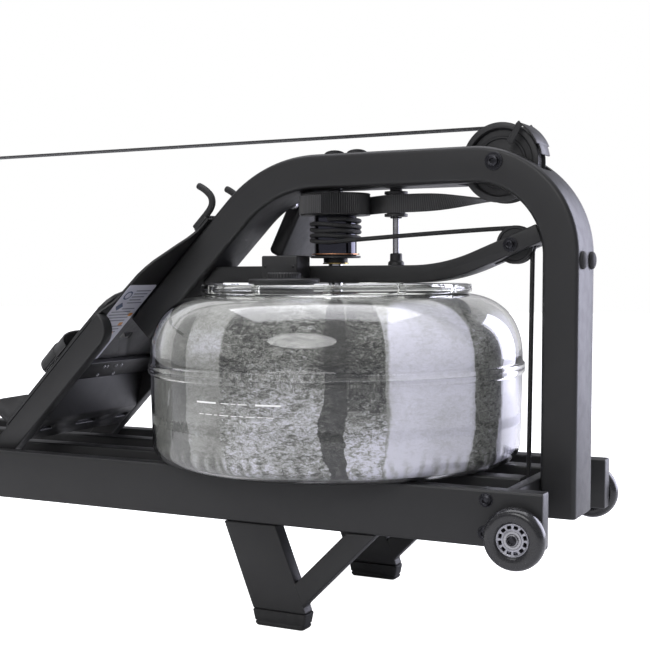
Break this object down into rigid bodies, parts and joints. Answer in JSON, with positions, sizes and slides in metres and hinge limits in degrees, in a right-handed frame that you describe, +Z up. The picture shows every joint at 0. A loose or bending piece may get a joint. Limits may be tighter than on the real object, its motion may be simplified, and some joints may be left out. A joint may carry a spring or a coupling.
{
  "type": "rowing machine",
  "caption": "Water-tank rowing machine: steel rails and arch, clear tank with paddle, belt-and-cord drive, pull handle, foot station and rolling seat.",
  "frame": {"origin": "on the floor, at the middle of the machine's length and width", "axes": "+X towards the tank end, +Y to the seated rower's left, +Z up"},
  "size_m": [2.04, 0.527, 0.673],
  "materials": {
    "frame_paint": "satin black powder coat",
    "tank_clear": "clear moulded polycarbonate",
    "collar_clear": "clear moulded ring",
    "black_plastic": "moulded, fine grain",
    "seat_roller": "smooth",
    "steel": "turned and zinc plated",
    "chrome": "polished",
    "foot_rubber": "matt",
    "grip_rubber": "matt, lightly ribbed",
    "tyre": "smooth polyurethane",
    "webbing": "woven",
    "cord": "braided cover",
    "seat_cover": "grained vinyl"
  },
  "bodies": {
    "frame": {"main_rail_right": "frame_paint", "main_rail_left": "frame_paint", "inner_rail_right": "frame_paint", "inner_rail_left": "frame_paint", "front_cross_tube": "frame_paint", "rear_cross_tube": "frame_paint", "arch_tube": "frame_paint", "tank_crossmember": "frame_paint", "foot_cross_tube": "frame_paint", "lower_cross_tube": "frame_paint", "foot_strut_right": "frame_paint", "foot_strut_left": "frame_paint", "front_leg_right": "frame_paint", "front_leg_left": "frame_paint", "rear_leg": "frame_paint", "front_foot_right": "foot_rubber", "front_foot_left": "foot_rubber", "rear_foot_right": "foot_rubber", "rear_foot_left": "foot_rubber", "tank_lower_shell": "tank_clear", "tank_upper_shell": "tank_clear", "tank_collar": "collar_clear", "sensor_box": "black_plastic", "idler_shaft": "steel", "top_pulley_axle": "steel", "bungee_pulley_axle": "steel", "belt_guard": "frame_paint", "bungee_cord": "cord", "drive_belt_wrap": "webbing", "drive_belt_run": "webbing", "cord_anchor": "steel", "footboard": "frame_paint", "foot_strap_right": "webbing", "foot_strap_left": "webbing", "handle_hooks": "frame_paint", "wheel_axle_right": "steel", "wheel_axle_left": "steel", "monitor_arm": "steel"},
    "handle": {"handle_bar": "steel", "grip_right": "grip_rubber", "grip_left": "grip_rubber", "belt_clevis": "frame_paint"},
    "paddle": {"impeller": "black_plastic", "impeller_shaft": "chrome"},
    "drum": {"belt_drum": "black_plastic", "bungee_spool": "chrome"},
    "idler": {"idler_roller": "black_plastic"},
    "top_pulley": {"top_pulley": "black_plastic"},
    "bungee_pulley": {"bungee_pulley": "black_plastic"},
    "lower_pulley": {"lower_pulley": "black_plastic"},
    "filler": {"filler_cap": "black_plastic"},
    "heel_right": {"heel_cup_right": "black_plastic"},
    "heel_left": {"heel_cup_left": "black_plastic"},
    "seat": {"seat_pad": "seat_cover", "seat_carriage": "steel"},
    "seat_front_wheels": {"seat_wheels_front": "seat_roller"},
    "seat_rear_wheels": {"seat_wheels_rear": "seat_roller"},
    "wheel_right": {"wheel_right": "tyre"},
    "wheel_left": {"wheel_left": "tyre"},
    "monitor": {"monitor": "black_plastic"}
  },
  "joints": [
    {"name": "handle_pull", "type": "slide", "parent": "frame", "child": "handle", "axis": [-1, 0, 0], "range_m": [-0.575, 0.7], "deforming": ["drive_belt_run"]},
    {"name": "drum_spin", "type": "hinge", "parent": "frame", "child": "drum", "pos_m": [0.661, 0, 0.557], "axis": [0, 0, 1], "range_deg": [-839.3, 689.6]},
    {"name": "paddle_spin", "type": "hinge", "parent": "frame", "child": "paddle", "pos_m": [0.661, 0, 0.287], "axis": [0, 0, 1], "range_deg": [-839.3, 689.6]},
    {"name": "top_pulley_spin", "type": "hinge", "parent": "frame", "child": "top_pulley", "pos_m": [0.906, 0, 0.609], "axis": [0, 1, 0], "range_deg": [-880.8, 723.7]},
    {"name": "idler_spin", "type": "hinge", "parent": "frame", "child": "idler", "pos_m": [0.7472, 0.0141, 0.5615], "axis": [0, 0, 1], "range_deg": [-2384.3, 2902.4]},
    {"name": "bungee_pulley_spin", "type": "hinge", "parent": "frame", "child": "bungee_pulley", "pos_m": [0.924, 0, 0.503], "axis": [0, 1, 0], "range_deg": [-1266, 1040.1]},
    {"name": "lower_pulley_spin", "type": "hinge", "parent": "frame", "child": "lower_pulley", "pos_m": [0.925, 0, 0.179], "axis": [0, 1, 0], "range_deg": [-1544, 1268.5]},
    {"name": "seat_slide", "type": "slide", "parent": "frame", "child": "seat", "axis": [-1, 0, 0], "range_m": [-0.25, 0.5]},
    {"name": "seat_front_wheels_spin", "type": "hinge", "parent": "seat", "child": "seat_front_wheels", "pos_m": [-0.234, 0, 0.2273], "axis": [0, 1, 0], "range_deg": [-1462, 731.5]},
    {"name": "seat_rear_wheels_spin", "type": "hinge", "parent": "seat", "child": "seat_rear_wheels", "pos_m": [-0.384, 0, 0.2273], "axis": [0, 1, 0], "range_deg": [-1462, 731.5]},
    {"name": "wheel_right_spin", "type": "hinge", "parent": "frame", "child": "wheel_right", "pos_m": [0.982, -0.177, 0.154], "axis": [0, 1, 0], "continuous": true},
    {"name": "wheel_left_spin", "type": "hinge", "parent": "frame", "child": "wheel_left", "pos_m": [0.982, 0.177, 0.154], "axis": [0, 1, 0], "continuous": true},
    {"name": "filler_cap_turn", "type": "hinge", "parent": "frame", "child": "filler", "pos_m": [0.6395, -0.112, 0.452], "axis": [0, 0, 1], "range_deg": [0, 90]},
    {"name": "heel_right_slide", "type": "slide", "parent": "frame", "child": "heel_right", "axis": [0.7071, 0, 0.7071], "range_m": [-0.015, 0.045]},
    {"name": "heel_left_slide", "type": "slide", "parent": "frame", "child": "heel_left", "axis": [0.7071, 0, 0.7071], "range_m": [-0.015, 0.045]},
    {"name": "monitor_tilt", "type": "hinge", "parent": "frame", "child": "monitor", "pos_m": [0.57, 0.052, 0.568], "axis": [0, 1, 0], "range_deg": [-15, 15]}
  ],
  "couplings": [
    {"joint": "drum_spin", "follows": "handle_pull", "rad_per_m": -20.492},
    {"joint": "paddle_spin", "follows": "handle_pull", "rad_per_m": -20.492},
    {"joint": "top_pulley_spin", "follows": "handle_pull", "rad_per_m": -21.505},
    {"joint": "idler_spin", "follows": "handle_pull", "rad_per_m": 70.922},
    {"joint": "bungee_pulley_spin", "follows": "handle_pull", "rad_per_m": -30.922},
    {"joint": "lower_pulley_spin", "follows": "handle_pull", "rad_per_m": -37.718},
    {"joint": "seat_front_wheels_spin", "follows": "seat_slide", "rad_per_m": -50},
    {"joint": "seat_rear_wheels_spin", "follows": "seat_slide", "rad_per_m": -50}
  ]
}
